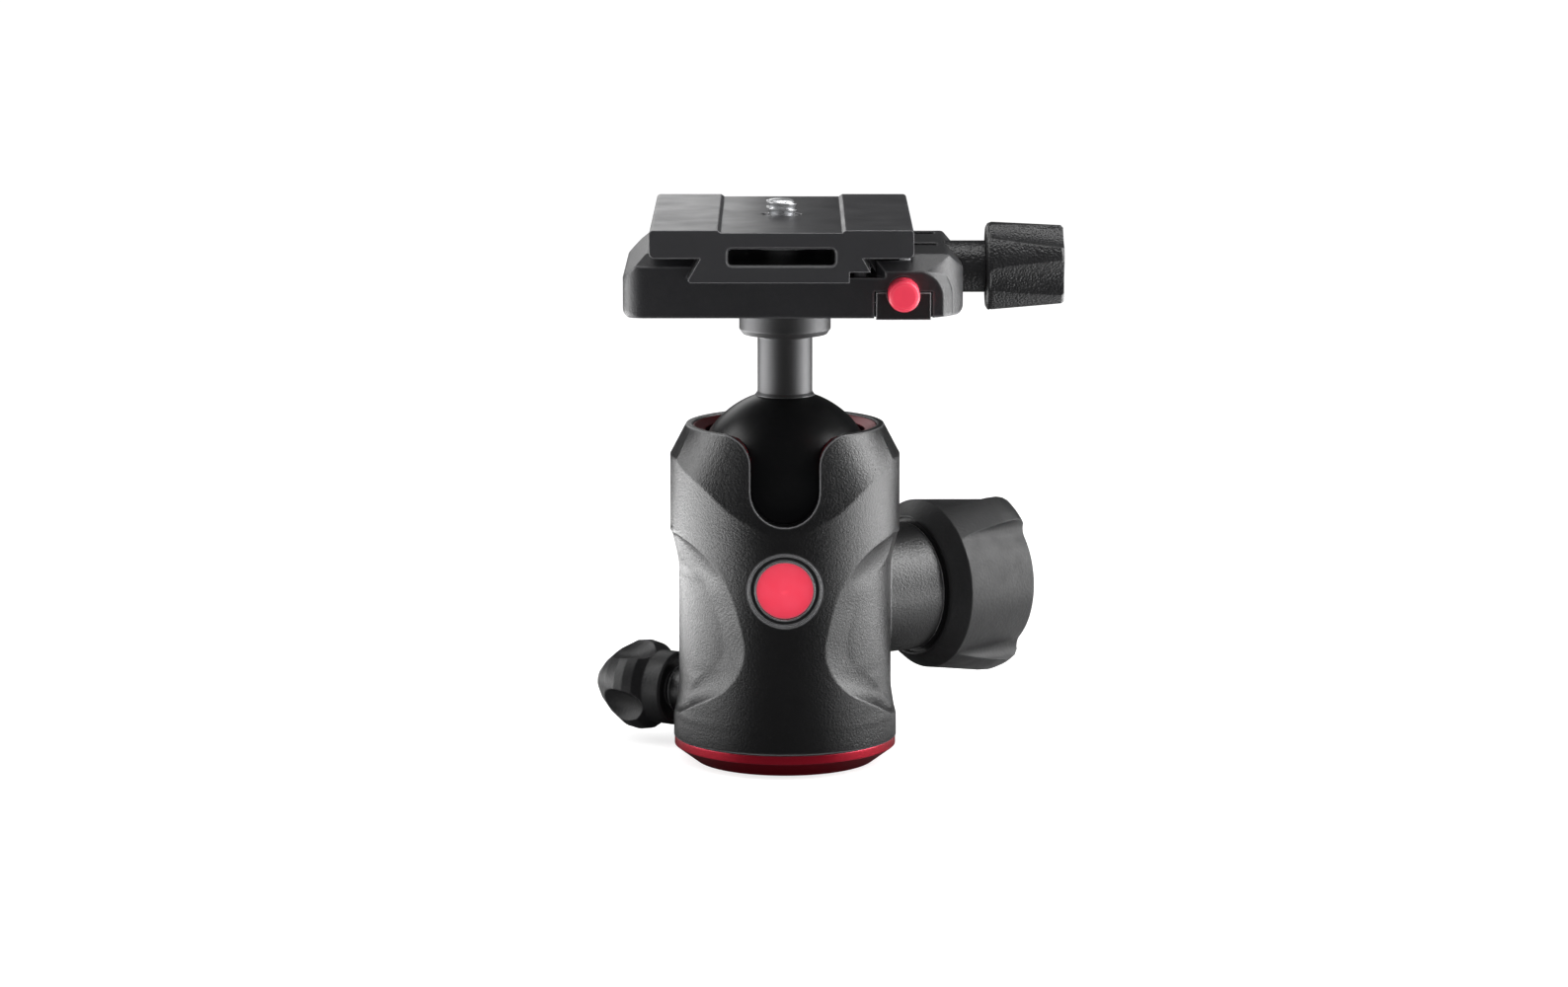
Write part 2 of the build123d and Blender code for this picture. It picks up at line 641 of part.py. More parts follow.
def form_bounds():
    """Space that the clamp's arch stays inside."""
    return block(clamp_left, clamp_right, -clamp_half, 0, clamp_low + 0.4, jaw_top - 1.0)


def make_clamp_body():
    """Clamp casting: bed, fixed jaw, end wall, and the cavities for the jaw and the button."""
    body = make_clamp_form()
    # channel for the moving jaw, and the two windows in the top that it shows through
    space = jaw_half + 0.3
    body -= block(jaw_foot_left - 0.2, jaw_foot_right + jaw_travel + 0.25, -space, space,
                  clamp_low + 2.2, bed_z + 1.0)
    body -= block(jaw_foot_left - 0.2, channel_end, -space, space, clamp_low + 2.2, jaw_top + 1)
    for window_y in (-3.3, jaw_half):
        body -= block(25.0, 31.6, window_y - 2.6, window_y + 2.6, bed_z + 0.5, jaw_top + 1)
    # clamp screw, sleeve thread and guide rods
    body -= clamp_frame * rod(clamp_screw_r + 0.3, 24, clamp_right + 1)
    body -= clamp_frame * rod(clamp_screw_r + 1.5, 30.0, clamp_right + 1)
    body -= clamp_frame * rod(sleeve_r + 0.02, clamp_right - sleeve_seat, clamp_right + 1)
    for rod_y in (-guide_y, guide_y):
        body -= Pos(0, rod_y, guide_z) * Rot(0, 90, 0) * rod(guide_r, 10, 33.6)
    # counterbore for the bolt into the stem
    body -= rod(stem_thread_r + 0.1, clamp_low - 1, bed_z + 1) + rod(5.6, clamp_low + 3.0, bed_z + 1)
    # button: slide cavity, round hole, and the opening that the retaining block fills
    body -= button_axis * rod(button_r + 0.12, slide_back - 2, clamp_half + 4)
    body -= block(pin_x - 1.8, button_x + 3.35, -slide_front, -slide_back, clamp_low + 2.6,
                  clamp_low + 6.1)
    body -= block(button_x - button_half - 0.4, button_x + button_half + 0.4, -clamp_half - 1,
                  -slide_front,
                  clamp_low - 1, button_z + 0.3)
    body -= Pos(pin_x, pin_y, 0) * rod(pin_r + 0.08, clamp_low + 0.7, bed_z + 1)
    return body


def make_button_block():
    """Small block that closes the front opening under the button."""
    body = block(button_x - button_half, button_x + button_half, -clamp_half - 0.25, -slide_front - 0.02,
                 clamp_low - 0.3, button_z + 0.1)
    return body - button_axis * rod(button_r + 0.12, slide_back, clamp_half + 4)


def make_clamp_bolt():
    """Socket bolt that holds the clamp on the stem."""
    seat_z = clamp_low + 3.05
    bolt = rod(5.2, seat_z, seat_z + 4.2) + rod(stem_thread_r, collar_high - 11.0, seat_z)
    return bolt - Pos(0, 0, seat_z + 1.8) * extrude(RegularPolygon(2.9, 6), 4)


def make_guide_rods():
    """Two steel rods that the moving jaw slides on."""
    rods = [Pos(0, y, guide_z) * Rot(0, 90, 0) * rod(guide_r - 0.02, 10.1, 33.5)
            for y in (-guide_y, guide_y)]
    return Compound(rods)


def make_clamp_jaw():
    """Moving jaw: a hooked bar on a foot that slides along X."""
    low, step = clamp_low + 2.4, bed_z + 0.7
    flank_top = plate_x + flank_x(jaw_top - 0.2, flank_gap)
    flank_bed = plate_x + flank_x(bed_z, flank_gap)
    back = channel_end - jaw_travel - 0.5
    outline = [(jaw_foot_left, low), (jaw_foot_right, low), (jaw_foot_right, step), (back, step),
               (back, jaw_top - 0.2), (flank_top, jaw_top - 0.2), (flank_bed, bed_z + 0.1),
               (jaw_foot_left, bed_z + 0.1)]
    jaw = prism_xz(outline, -jaw_half, jaw_half)
    jaw -= clamp_frame * rod(clamp_screw_r + running, jaw_foot_left - 0.6, 30)
    for rod_y in (-guide_y, guide_y):
        jaw -= Pos(0, rod_y, guide_z) * Rot(0, 90, 0) * rod(guide_r - 0.02 + running, 15, 30)
    return jaw


def make_clamp_sleeve():
    """Sleeve between the clamp and its knob, screwed into the end wall."""
    sleeve = rod(clamp_screw_r + 1.45, 30.1, clamp_right)
    sleeve += rod(sleeve_r, clamp_right - sleeve_seat + 0.02, sleeve_end)
    return clamp_frame * (sleeve - rod(clamp_screw_r + running, 20, 60))


def make_clamp_screw():
    """Clamp screw from the jaw to the knob."""
    return clamp_frame * rod(clamp_screw_r, jaw_foot_left + 1.4, sleeve_end + 10)


def make_clamp_knob():
    """Tapered knob with five scooped flutes that run out towards its inner end."""
    length = clamp_knob_length
    r = clamp_knob_r
    knob = turned((0, 0), (r - 1.0, 0), (r - 0.3, 0.4), (r, 1.2), (r - 0.7, length - 0.5),
                  (r - 1.2, length), (0, length))
    flute_r = 8.0
    for turn in around(5, 30):
        knob -= turn * Pos(r + flute_r - 0.7, 0, 1.8) * Rot(0, -7.5, 0) * rod(flute_r, 0, length + 4)
    knob -= rod(clamp_screw_r + fitted, -1, 9.95)
    knob -= rod(5.0, length - 0.8, length + 1)
    return clamp_frame * Pos(0, 0, sleeve_end + 0.1) * knob


def make_clamp_knob_cap():
    """Flush cap in the clamp knob's end."""
    cap = turned((0, 0), (4.95, 0), (4.95, 0.6), (4.6, 0.8), (0, 1.0))
    return clamp_frame * Pos(0, 0, sleeve_end + 0.1 + clamp_knob_length - 0.8) * cap


# ---- safety button ----------------------------------------------------------------------
def make_safety_button():
    """Red push button."""
    out = clamp_half + button_out
    button = turned((0, slide_front - 0.3), (button_r, slide_front - 0.3), (button_r, out - 0.9),
                    (button_r - 0.3, out - 0.3), (button_r - 0.9, out), (0, out))
    return button_axis * button


def make_button_slide():
    """Slide behind the button, with a ramp under the stop pin."""
    front, back = slide_front - 0.35, slide_front - 2.85
    slide = block(pin_x - 1.5, button_x + 3.15, -front, -back, clamp_low + 2.8, clamp_low + 6.0)
    ramp = prism_yz([(-front - 0.05, clamp_low + 3.1), (-back + 0.05, clamp_low + 5.7),
                     (-back + 0.05, clamp_low + 6.8),
                      (-front - 0.05, clamp_low + 6.8)], pin_x - 1.6, pin_x + 1.8)
    return slide - ramp


def make_safety_pin():
    """Stop pin that stands in the plate's rabbet. Its sloping foot rests on the ramp."""
    pin = Pos(pin_x, pin_y, 0) * rod(pin_r, clamp_low + 0.8, bed_z + 1.75)
    near, far = pin_y - 1.8, pin_y + 2.2
    low_at = lambda y: clamp_low + 3.1 + (y + slide_front - 0.3) + seat
    ramp = prism_yz([(near, clamp_low - 0.2), (far, clamp_low - 0.2), (far, low_at(far)),
                     (near, low_at(near))],
                    pin_x - 3, pin_x + 3)
    return pin - ramp


# ---- plate ------------------------------------------------------------------------------
def make_quick_plate():
    """Dovetail plate with two raised pads, a front window and the camera screw's pocket."""
    slab_low = plate_top - slab_h
    half_w = plate_width / 2
    half_d = plate_depth / 2
    step = plate_recess_half + 0.7
    right = [(0, plate_low), (dovetail_half - dovetail_edge, plate_low),
             (dovetail_half, plate_low + dovetail_edge),
             (dovetail_neck, slab_low), (half_w, slab_low), (half_w, plate_top), (step, plate_top),
             (plate_recess_half, plate_top - plate_recess_h), (0, plate_top - plate_recess_h)]
    outline = right + [(-x, z) for x, z in reversed(right[1:-1])]
    face = make_face(Polyline(*[(x, half_d, z) for x, z in outline], close=True))
    face = fillet([v for v in face.vertices() if abs(v.X) > half_w - 0.01 and v.Z > plate_top - 0.01],
                  0.8)
    face = fillet([v for v in face.vertices() if abs(v.X) > half_w - 0.01 and v.Z < slab_low + 0.01],
                  1.2)
    plate = extrude(face, plate_depth, dir=(0, -1, 0))
    # pocket for the screw's head, open below, and the window into it from the front
    pocket_z = plate_top - plate_recess_h - 2.0
    plate -= rod(camera_head_r + 0.3, plate_low - 1, pocket_z)
    window = Pos(0, window_mid) * RectangleRounded(2 * window_half, window_h, 0.9)
    window_frame = Plane(origin=(0, -half_d - 1, 0), x_dir=(1, 0, 0), z_dir=(0, -1, 0))
    plate -= extrude(window_frame * window, -half_d + 3.0)
    # a bevel round the window's edge
    bevel = Pos(0, window_mid) * RectangleRounded(2 * window_half + 0.7, window_h + 0.7, 1.25)
    bevel_frame = Plane(origin=(0, -half_d, 0), x_dir=(1, 0, 0), z_dir=(0, -1, 0))
    plate -= extrude(bevel_frame * bevel, -0.35, taper=44)
    plate -= rod(camera_screw_r + 0.15, plate_low, plate_top + 1)
    plate -= rod(clip_r + 0.15, clip_seat, plate_top + 1)
    # rabbet for the clamp's stop pin, open at the front
    plate -= block(pin_x - 1.6, dovetail_half + 1, -half_d - 1, pin_y + pin_r + 10.5, plate_low - 1,
                   plate_low + 2.2)
    return Pos(plate_x, 0, 0) * plate


def make_camera_screw():
    """Camera screw: slotted head in the pocket, relieved neck, and the free end above the plate."""
    top = plate_top - plate_recess_h + camera_screw_height
    head_top = plate_top - plate_recess_h - 2.05
    head_low = plate_low + 0.6
    r = camera_head_r
    screw = turned((0, head_low), (r - 0.3, head_low), (r, head_low + 0.4), (r, head_low + 3.0),
                   (r - 2.9, head_low + 3.6), (r - 2.9, head_top), (camera_neck_r, head_top),
                   (camera_neck_r, thread_low), (camera_screw_r, thread_low),
                   (camera_screw_r, top - 0.5),
                   (camera_screw_r - 0.5, top), (0, top))
    screw -= block(-r - 0.6, r + 0.6, -0.9, 0.9, head_low - 1, head_low + 1.8)
    return Pos(plate_x, 0, 0) * screw


def make_screw_clip():
    """Retaining ring round the camera screw's neck. The thread can't pass through it."""
    low = clip_seat + 0.05
    clip = rod(clip_r, low, low + clip_h) - rod(camera_neck_r + 0.08, low - 1, low + 1)
    clip -= block(-1.0, 1.0, -6, 0, low - 1, low + 1)
    return Pos(plate_x, 0, 0) * clip


# ---- write every node -------------------------------------------------------------------
makers = {
    "base_ring": make_base_ring,
    "pan_spindle": make_pan_spindle,
    "base_screws": make_base_screws,
    "thread_bush": make_thread_bush,
    "pan_washer": make_pan_washer,
    "pan_bolt": make_pan_bolt,
    "housing": make_housing,
    "race_ring": make_race_ring,
    "badge_bezel": make_badge_bezel,
    "badge_disc": make_badge_disc,
    "lock_piston": make_lock_piston,
    "ball_cup": make_ball_cup,
    "lock_wedge": make_lock_wedge,
    "lock_bush": make_lock_bush,
    "lock_screw": make_lock_screw,
    "lock_knob": make_lock_knob,
    "lock_knob_cap": make_lock_knob_cap,
    "pan_shoe": make_pan_shoe,
    "pan_bush": make_pan_bush,
    "pan_screw": make_pan_screw,
    "pan_knob": make_pan_knob,
    "ball": make_ball,
    "stem": make_stem,
    "clamp_body": make_clamp_body,
    "button_block": make_button_block,
    "clamp_bolt": make_clamp_bolt,
    "guide_rods": make_guide_rods,
    "clamp_jaw": make_clamp_jaw,
    "clamp_sleeve": make_clamp_sleeve,
    "clamp_screw": make_clamp_screw,
    "clamp_knob": make_clamp_knob,
    "clamp_knob_cap": make_clamp_knob_cap,
    "safety_button": make_safety_button,
    "button_slide": make_button_slide,
    "safety_pin": make_safety_pin,
    "quick_plate": make_quick_plate,
    "camera_screw": make_camera_screw,
    "screw_clip": make_screw_clip,
}

os.makedirs("parts", exist_ok=True)
for name, maker in makers.items():
    export_step(maker(), f"parts/{name}.step")
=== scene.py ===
"""Looks of a small tripod ball head: its finishes, its threaded camera screw and a small studio.

Everything is in metres, in the part's own frame: +Z up along the pan axis, -Y to the front, +X towards the
clamp's knob. Sizes that are easier to read in millimetres say so.
"""
import math

import bmesh
import bpy
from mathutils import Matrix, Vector


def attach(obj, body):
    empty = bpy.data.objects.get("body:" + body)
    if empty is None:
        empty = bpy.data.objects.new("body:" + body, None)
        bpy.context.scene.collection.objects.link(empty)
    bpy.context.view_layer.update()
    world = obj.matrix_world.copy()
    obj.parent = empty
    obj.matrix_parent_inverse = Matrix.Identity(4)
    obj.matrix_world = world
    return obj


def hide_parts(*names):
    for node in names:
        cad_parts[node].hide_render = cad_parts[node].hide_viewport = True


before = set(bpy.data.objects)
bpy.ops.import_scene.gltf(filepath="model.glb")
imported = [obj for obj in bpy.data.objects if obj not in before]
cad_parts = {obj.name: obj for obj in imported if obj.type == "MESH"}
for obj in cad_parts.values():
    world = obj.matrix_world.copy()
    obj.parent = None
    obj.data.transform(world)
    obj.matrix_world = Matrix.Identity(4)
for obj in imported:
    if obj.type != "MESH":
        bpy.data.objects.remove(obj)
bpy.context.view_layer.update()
scene = bpy.context.scene

# a Mix node set to colours has its two colours and its result at these sockets
COLOUR_A, COLOUR_B, COLOUR_MIXED = 6, 7, 2
# cosine between a face and its rounded normal, where the painted edge highlight begins and where it is full
EDGE_BEGINS, EDGE_FULL = 0.985, 0.80


# ---- small helpers ----------------------------------------------------------------------
def colour(code):
    """Linear RGBA from an sRGB hex value."""
    channels = [int(code[i:i + 2], 16) / 255 for i in (1, 3, 5)]
    return [c / 12.92 if c <= 0.04045 else ((c + 0.055) / 1.055) ** 2.4 for c in channels] + [1.0]


def per_mm(size):
    """Texture scale at which one feature is this many millimetres across."""
    return 1000.0 / size


def add(tree, kind, inputs=None, **settings):
    """Adds one node with its settings. An input is a value or another node's output socket."""
    made = tree.nodes.new(kind)
    for key, value in settings.items():
        setattr(made, key, value)
    for key, value in (inputs or {}).items():
        if isinstance(value, bpy.types.NodeSocket):
            tree.links.new(value, made.inputs[key])
        else:
            made.inputs[key].default_value = value
    return made


def new_finish(name):
    """Empty material with its tree, its shader and the object's own coordinates in metres."""
    made = bpy.data.materials.new(name)
    made.use_nodes = True
    tree = made.node_tree
    tree.nodes.clear()
    shader = add(tree, "ShaderNodeBsdfPrincipled")
    add(tree, "ShaderNodeOutputMaterial", {"Surface": shader.outputs["BSDF"]})
    place = add(tree, "ShaderNodeTexCoord").outputs["Object"]
    return made, tree, shader, place


def soften_edges(tree, shader, height, relief_mm, strength, edge_mm):
    """Rounds sharp edges in the shading and lays the fine relief on top. Returns the painted edge highlight's
    mask.
    """
    edge = add(tree, "ShaderNodeBevel", {"Radius": edge_mm / 1000}, samples=6)
    facing = add(tree, "ShaderNodeNewGeometry").outputs["Normal"]
    bend = add(tree, "ShaderNodeVectorMath", {0: edge.outputs["Normal"], 1: facing}, operation="DOT_PRODUCT")
    # painted highlight: where the rounded normal turns from the face, the paler edge colour is laid on
    edge_highlight_mask = add(tree, "ShaderNodeMapRange", {"Value": bend.outputs["Value"], "From Min": EDGE_BEGINS,
                                           "From Max": EDGE_FULL})
    bump = add(tree, "ShaderNodeBump", {"Height": height, "Strength": strength, "Distance": relief_mm / 1000,
                                        "Normal": edge.outputs["Normal"]})
    tree.links.new(bump.outputs["Normal"], shader.inputs["Normal"])
    return edge_highlight_mask.outputs["Result"]


def tint(tree, shader, amount, dark, light, edge_highlight_mask, edge):
    """Base colour: two close tones mixed by a slow pattern, and a third, paler one along the edges as a
    painted highlight.
    """
    tone = add(tree, "ShaderNodeMix", {"Factor": amount, COLOUR_A: colour(dark), COLOUR_B: colour(light)},
               data_type="RGBA")
    # painted highlight: the edge colour over the edge mask
    last = add(tree, "ShaderNodeMix", {"Factor": edge_highlight_mask, COLOUR_A: tone.outputs[COLOUR_MIXED],
                                       COLOUR_B: colour(edge)}, data_type="RGBA")
    tree.links.new(last.outputs[COLOUR_MIXED], shader.inputs["Base Color"])


def vary_roughness(tree, shader, amount, middle, swing):
    """Roughness that swings round its middle value with a pattern."""
    level = add(tree, "ShaderNodeMapRange", {"Value": amount, "From Min": 0.3, "From Max": 0.7,
                                             "To Min": middle - swing, "To Max": middle + swing})
    tree.links.new(level.outputs["Result"], shader.inputs["Roughness"])


# ---- kinds of finish --------------------------------------------------------------------
def powder_coat(name, dark, light, edge, grit_mm, rough, relief_mm, ior):
    """Powder-coated die casting: a matt skin with an even grit, and a painted highlight along its sharp
    edges.
    """
    made, tree, shader, place = new_finish(name)
    # real grains are about 0.1 mm; they are drawn about four times as coarse, so that they show
    grit = add(tree, "ShaderNodeTexNoise", {"Vector": place, "Scale": per_mm(grit_mm), "Detail": 2.0,
                                            "Roughness": 0.6})
    # slow waviness of the coat, which keeps its black from looking flat
    wave_mm = 7.0
    wave = add(tree, "ShaderNodeTexNoise", {"Vector": place, "Scale": per_mm(wave_mm), "Detail": 2.0})
    edge_highlight_mask = soften_edges(tree, shader, grit.outputs["Fac"], relief_mm, strength=0.8, edge_mm=0.8)
    tint(tree, shader, wave.outputs["Fac"], dark, light, edge_highlight_mask, edge)
    vary_roughness(tree, shader, grit.outputs["Fac"], rough, swing=0.07)
    shader.inputs["IOR"].default_value = ior
    return made


def blasted_anodised(name, dark, light, edge, rough, relief_mm, ior):
    """Dyed aluminium after glass-bead blasting: satin, with a very fine, soft tooth.

    The dyed oxide hides the metal under it, so it is shaded as a dielectric.
    """
    made, tree, shader, place = new_finish(name)
    # the pits that the beads leave are under 0.1 mm; they are drawn at 0.3 mm, so that they show
    tooth_mm = 0.30
    tooth = add(tree, "ShaderNodeTexNoise", {"Vector": place, "Scale": per_mm(tooth_mm), "Detail": 1.0})
    cloud_mm = 9.0
    cloud = add(tree, "ShaderNodeTexNoise", {"Vector": place, "Scale": per_mm(cloud_mm), "Detail": 3.0})
    edge_highlight_mask = soften_edges(tree, shader, tooth.outputs["Fac"], relief_mm, strength=0.4, edge_mm=0.35)
    tint(tree, shader, cloud.outputs["Fac"], dark, light, edge_highlight_mask, edge)
    vary_roughness(tree, shader, cloud.outputs["Fac"], rough, swing=0.04)
    shader.inputs["IOR"].default_value = ior
    return made


def turned_metal(name, dark, light, edge, rough, metallic, relief_mm, feed_mm, coat=0.0):
    """Metal off the lathe: rings at the tool's feed, which stretch the highlights round the piece.

    A real feed is about 0.1 mm a turn. The rings are drawn twice as far apart, so that they show.
    """
    made, tree, shader, place = new_finish(name)
    # the rings run round Z, so the pattern depends only on radius and height
    apart = add(tree, "ShaderNodeSeparateXYZ", {"Vector": place})
    flat = add(tree, "ShaderNodeCombineXYZ", {"X": apart.outputs["X"], "Y": apart.outputs["Y"]})
    radius = add(tree, "ShaderNodeVectorMath", {0: flat.outputs["Vector"]}, operation="LENGTH")
    ring_place = add(tree, "ShaderNodeCombineXYZ", {"X": radius.outputs["Value"], "Z": apart.outputs["Z"]})
    rings = add(tree, "ShaderNodeTexNoise", {"Vector": ring_place.outputs["Vector"], "Scale": per_mm(feed_mm),
                                             "Detail": 2.0, "Roughness": 0.65})
    edge_highlight_mask = soften_edges(tree, shader, rings.outputs["Fac"], relief_mm, strength=0.35, edge_mm=0.30)
    tint(tree, shader, rings.outputs["Fac"], dark, light, edge_highlight_mask, edge)
    vary_roughness(tree, shader, rings.outputs["Fac"], rough, swing=0.05)
    shader.inputs["Metallic"].default_value = metallic
    shader.inputs["Coat Weight"].default_value = coat
    shader.inputs["Coat Roughness"].default_value = 0.22
    return made


def grained_plastic(name, dark, light, edge, grain_mm, rough, relief_mm, ior=1.5):
    """Moulded plastic or rubber from a spark-eroded tool: rounded grains side by side.

    Real grains are about 0.1 to 0.2 mm. They are drawn two to four times as coarse, so that they show.
    """
    made, tree, shader, place = new_finish(name)
    grain = add(tree, "ShaderNodeTexVoronoi", {"Vector": place, "Scale": per_mm(grain_mm)},
                feature="SMOOTH_F1")
    domes = add(tree, "ShaderNodeMath", {0: 1.0, 1: grain.outputs["Distance"]}, operation="SUBTRACT")
    drift_mm = 3.0
    drift = add(tree, "ShaderNodeTexNoise", {"Vector": place, "Scale": per_mm(drift_mm), "Detail": 3.0})
    edge_highlight_mask = soften_edges(tree, shader, domes.outputs["Value"], relief_mm, strength=0.6, edge_mm=0.5)
    tint(tree, shader, drift.outputs["Fac"], dark, light, edge_highlight_mask, edge)
    vary_roughness(tree, shader, drift.outputs["Fac"], rough, swing=0.05)
    shader.inputs["IOR"].default_value = ior
    return made


def moulded_gloss(name, dark, light, edge, rough):
    """Moulded ABS with a semi-gloss skin, slightly wavy as moulded skins are."""
    made, tree, shader, place = new_finish(name)
    wave_mm = 2.5
    wave = add(tree, "ShaderNodeTexNoise", {"Vector": place, "Scale": per_mm(wave_mm), "Detail": 2.0})
    # a fine haze that breaks up the gloss, drawn coarser than it is, so that it shows
    haze_mm = 0.3
    haze = add(tree, "ShaderNodeTexNoise", {"Vector": place, "Scale": per_mm(haze_mm), "Detail": 1.0})
    edge_highlight_mask = soften_edges(tree, shader, wave.outputs["Fac"], relief_mm=0.04, strength=0.15, edge_mm=0.5)
    tint(tree, shader, wave.outputs["Fac"], dark, light, edge_highlight_mask, edge)
    vary_roughness(tree, shader, haze.outputs["Fac"], rough, swing=0.04)
    shader.inputs["Subsurface Weight"].default_value = 0.05
    shader.inputs["Subsurface Scale"].default_value = 0.001
    return made


def widen_corner(made, outer_mm, inner_mm, large_mm, small_mm):
    """Makes the shading's edge radius large up to outer_mm along X, and small past inner_mm."""
    tree = made.node_tree
    place = add(tree, "ShaderNodeTexCoord").outputs["Object"]
    across = add(tree, "ShaderNodeSeparateXYZ", {"Vector": place}).outputs["X"]
    radius = add(tree, "ShaderNodeMapRange", {"Value": across, "From Min": outer_mm / 1000,
                                              "From Max": inner_mm / 1000, "To Min": large_mm / 1000,
                                              "To Max": small_mm / 1000})
    # the radius also sets how wide the painted edge highlight is
    tree.links.new(radius.outputs["Result"], tree.nodes["Bevel"].inputs["Radius"])


# ---- this object's finishes -------------------------------------------------------------
# Powder-coated magnesium casting: a near-black, matt body whose creases carry a painted highlight as paler
# lines, so that the facets read even where no light is mirrored.
housing_coat = powder_coat("powder_coated_magnesium", dark="#0c0c0d", light="#111112", edge="#8c8c8e",
                           grit_mm=0.45, rough=0.35, relief_mm=0.12, ior=1.60)

# The clamp's casting has a smoother powder coat: a softer charcoal black with quieter painted edge
# highlights.
# Its left corner is a broad round in the shading; its wide highlight is partly mirrored light, partly
# painted.
clamp_coat = powder_coat("powder_coated_clamp", dark="#1c1c1e", light="#222224", edge="#58585a",
                         grit_mm=0.42, rough=0.40, relief_mm=0.08, ior=1.65)
widen_corner(clamp_coat, outer_mm=-38.0, inner_mm=-30.0, large_mm=5.0, small_mm=0.8)

# Bead-blasted black aluminium: an even charcoal satin on the flats, with a painted highlight along its cut
# edges.
plate_skin = blasted_anodised("bead_blasted_black_aluminium", dark="#29292b", light="#2f2f31",
                              edge="#9a9a9c", rough=0.38, relief_mm=0.02, ior=1.6)

# The ball is blasted finest, before its black dye: the deepest black of all, with one small soft highlight.
ball_skin = blasted_anodised("satin_anodised_ball", dark="#0a0a0b", light="#0f0f10", edge="#1c1c1d",
                             rough=0.34, relief_mm=0.01, ior=1.33)

# Turned grey aluminium: a mid-grey stem with upright bands of light, drawn out by the fine rings.
stem_skin = turned_metal("turned_grey_aluminium", dark="#505051", light="#5d5d5e", edge="#8f8f91",
                         rough=0.44, metallic=0.9, relief_mm=0.02, feed_mm=0.25)

# Red-anodised turned aluminium: a clear metallic red. The sealed skin over the dye adds a thin white glint.
red_turned = turned_metal("red_anodised_ring", dark="#c4122c", light="#d8203e", edge="#f07086",
                          rough=0.34, metallic=0.85, relief_mm=0.012, feed_mm=0.20, coat=0.8)

# The race has the same dye but no sealed skin. It lies in the rim's shade, which is painted into its colour
# as a darker red:
# a wine-red line round the ball.
red_race_painted_shade = turned_metal("red_anodised_race_painted_shade", dark="#6a0a18", light="#7c1020", edge="#a02030",
                        rough=0.40, metallic=0.85, relief_mm=0.012, feed_mm=0.20)

# Soft-touch rubber on the lock knob: dull and even, so that its lobes show by broad shading alone.
knob_rubber = grained_plastic("soft_touch_rubber", dark="#161617", light="#1b1b1c", edge="#2c2c2d",
                              grain_mm=0.55, rough=0.50, relief_mm=0.06, ior=1.45)

# The pan knob's rubber is drawn darker, with painted highlights on its rims just pale enough to draw its
# scoops.
small_knob_rubber = grained_plastic("soft_touch_rubber_small", dark="#111112", light="#161617",
                                    edge="#343435", grain_mm=0.55, rough=0.46, relief_mm=0.06, ior=1.38)

# Grained nylon: a black knob that sparkles with many small glints instead of one highlight.
knob_grain = grained_plastic("grained_nylon", dark="#1a1a1b", light="#222223", edge="#3c3c3d",
                             grain_mm=0.42, rough=0.34, relief_mm=0.28)

# Black acetal: smooth, faintly waxy trim with a painted highlight along its moulded edges, as round the
# badge.
trim_plastic = grained_plastic("black_acetal", dark="#171718", light="#1d1d1e", edge="#a0a0a2",
                               grain_mm=0.35, rough=0.34, relief_mm=0.02)

# Bearing acetal: plain matt grey, for the cup and the shoe inside.
acetal_grey = grained_plastic("bearing_acetal", dark="#3a3a3c", light="#444446", edge="#555557",
                              grain_mm=0.40, rough=0.45, relief_mm=0.02)

# Red ABS badge: a bright, warm, even red under one broad soft shine.
red_gloss = moulded_gloss("red_abs_badge", dark="#fc4058", light="#ff5068", edge="#ffa4b0", rough=0.32)

# Red ABS button: the same plastic, a tone deeper and a little duller.
red_button = moulded_gloss("red_abs_button", dark="#e23850", light="#ec4259", edge="#ff9fac", rough=0.36)

# Machined steel: the palest and coldest surface, bright enough to mark the screws among the black.
steel = turned_metal("machined_steel", dark="#b4b5b7", light="#c8c9cb", edge="#e2e3e4",
                     rough=0.30, metallic=0.75, relief_mm=0.02, feed_mm=0.20)

# Turned brass: a warm yellow metal, for the bushes inside the bosses.
brass = turned_metal("turned_brass", dark="#b08a45", light="#c39a52", edge="#d8b56c",
                     rough=0.30, metallic=1.0, relief_mm=0.02, feed_mm=0.20)

nodes_by_finish = (
    (housing_coat, ("housing",)),
    (clamp_coat, ("clamp_body", "clamp_jaw")),
    (plate_skin, ("quick_plate", "pan_spindle", "safety_pin")),
    (ball_skin, ("ball",)),
    (stem_skin, ("stem",)),
    (red_turned, ("base_ring",)),
    (red_race_painted_shade, ("race_ring",)),
    (knob_rubber, ("lock_knob",)),
    (small_knob_rubber, ("pan_knob",)),
    (knob_grain, ("clamp_knob", "clamp_sleeve")),
    (trim_plastic, ("badge_bezel", "button_block", "button_slide", "clamp_knob_cap", "lock_knob_cap")),
    (acetal_grey, ("ball_cup", "pan_shoe")),
    (red_gloss, ("badge_disc",)),
    (red_button, ("safety_button",)),
    (brass, ("lock_bush", "pan_bush")),
    (steel, ("base_screws", "thread_bush", "pan_washer", "pan_bolt", "lock_piston", "lock_wedge",
             "lock_screw", "pan_screw", "clamp_bolt", "clamp_screw", "guide_rods", "screw_clip",
             "camera_screw")),
)
finish_of = {node: finish for finish, nodes in nodes_by_finish for node in nodes}
for node_name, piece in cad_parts.items():
    piece.data.materials.clear()
    piece.data.materials.append(finish_of[node_name])


